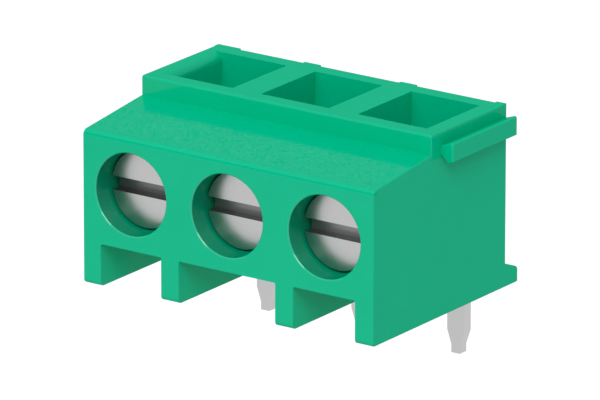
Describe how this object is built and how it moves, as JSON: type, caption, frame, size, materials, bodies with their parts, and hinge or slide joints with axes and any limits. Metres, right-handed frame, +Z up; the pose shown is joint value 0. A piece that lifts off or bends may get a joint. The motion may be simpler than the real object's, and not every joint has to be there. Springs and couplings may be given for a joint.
{
  "type": "terminal block",
  "caption": "Low board terminal block with round screw wells in front, square wire entries on top and flat solder pins behind.",
  "frame": {"origin": "middle solder pin's centre, on the plane of the board's top face", "axes": "+X along the row to the end with the coupling rail, -Y towards the screws, +Z up from the board"},
  "size_m": [0.0158, 0.0111, 0.0118],
  "materials": {
    "housing_plastic": "green moulded polyamide with a soft gloss",
    "screw_steel": "zinc-plated steel, turned face",
    "sleeve_steel": "nickel-plated steel",
    "contact_tin": "tin-plated copper alloy, satin"
  },
  "bodies": {
    "block": {"housing": "housing_plastic", "contact_1": "contact_tin", "contact_2": "contact_tin", "contact_3": "contact_tin"},
    "screw_1": {"clamping_screw_1": "screw_steel"},
    "sleeve_1": {"clamping_sleeve_1": "sleeve_steel"},
    "screw_2": {"clamping_screw_2": "screw_steel"},
    "sleeve_2": {"clamping_sleeve_2": "sleeve_steel"},
    "screw_3": {"clamping_screw_3": "screw_steel"},
    "sleeve_3": {"clamping_sleeve_3": "sleeve_steel"}
  },
  "joints": [
    {"name": "screw_turn_1", "type": "hinge", "parent": "block", "child": "screw_1", "pos_m": [-0.00508, -0.0092, 0.00445], "axis": [0, 1, 0], "range_deg": [0, 1400]},
    {"name": "sleeve_slide_1", "type": "slide", "parent": "block", "child": "sleeve_1", "axis": [0, -1, 0], "range_m": [0, 0.00175]},
    {"name": "screw_turn_2", "type": "hinge", "parent": "block", "child": "screw_2", "pos_m": [0, -0.0092, 0.00445], "axis": [0, 1, 0], "range_deg": [0, 1400]},
    {"name": "sleeve_slide_2", "type": "slide", "parent": "block", "child": "sleeve_2", "axis": [0, -1, 0], "range_m": [0, 0.00175]},
    {"name": "screw_turn_3", "type": "hinge", "parent": "block", "child": "screw_3", "pos_m": [0.00508, -0.0092, 0.00445], "axis": [0, 1, 0], "range_deg": [0, 1400]},
    {"name": "sleeve_slide_3", "type": "slide", "parent": "block", "child": "sleeve_3", "axis": [0, -1, 0], "range_m": [0, 0.00175]}
  ],
  "couplings": [
    {"joint": "screw_turn_1", "follows": "sleeve_slide_1", "rad_per_m": 13963},
    {"joint": "screw_turn_2", "follows": "sleeve_slide_2", "rad_per_m": 13963},
    {"joint": "screw_turn_3", "follows": "sleeve_slide_3", "rad_per_m": 13963}
  ]
}
